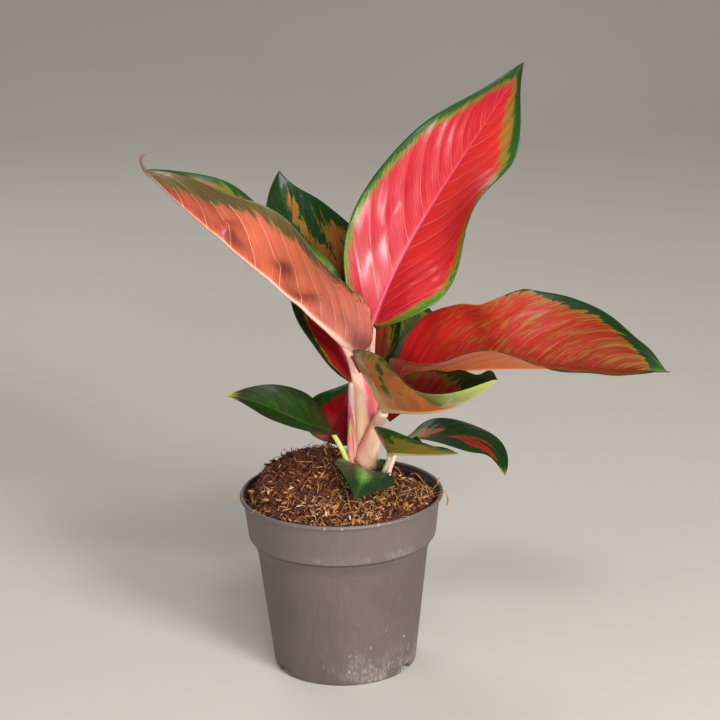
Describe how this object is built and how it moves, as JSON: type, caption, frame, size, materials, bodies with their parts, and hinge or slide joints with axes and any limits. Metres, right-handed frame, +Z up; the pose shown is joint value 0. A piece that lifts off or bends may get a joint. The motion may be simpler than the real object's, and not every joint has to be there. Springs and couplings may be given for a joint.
{
  "type": "potted plant",
  "caption": "Small red-leaved Chinese evergreen with broad waved leaves on short pink stems, in a tapered grey plastic nursery pot.",
  "frame": {"origin": "Middle of the flat pad under the pot's floor, on the pot's axis, on the surface the pot stands on.", "axes": "+X to the right and +Y to the back as seen from the front, +Z up along the pot's axis."},
  "size_m": [0.2938, 0.1908, 0.3493],
  "materials": {
    "pot_plastic": "matt grey-brown moulded plastic",
    "soil": "rough brown coir and peat",
    "pink_stem": "satin cream and pink plant tissue",
    "red_leaf": "glossy red blade with a green margin",
    "salmon_leaf": "satin salmon underside with pale veins",
    "olive_leaf": "satin olive and orange underside",
    "green_leaf": "glossy green blade with red patches",
    "speckled_leaf": "speckled green blade",
    "dark_red_leaf": "deep red blade with a green margin",
    "green_stalk": "satin yellow-green plant tissue",
    "dark_stalk": "satin dark green plant tissue"
  },
  "bodies": {
    "root": {"pot": "pot_plastic", "soil": "soil", "main_stem": "pink_stem", "tall_leaf": "red_leaf", "left_leaf": "salmon_leaf", "right_leaf": "red_leaf", "curled_leaf": "olive_leaf", "back_tall_leaf": "green_leaf", "back_left_leaf": "green_leaf", "back_right_leaf": "speckled_leaf", "low_left_leaf": "green_leaf", "low_back_leaf": "dark_red_leaf", "low_right_leaf": "olive_leaf", "far_right_leaf": "green_leaf", "front_low_leaf": "green_leaf", "scale_leaf": "green_leaf", "low_left_stalk": "green_stalk", "low_back_stalk": "dark_stalk", "low_right_stalk": "green_stalk", "far_right_stalk": "pink_stem", "front_low_stalk": "green_stalk", "young_shoot": "pink_stem"}
  },
  "joints": []
}
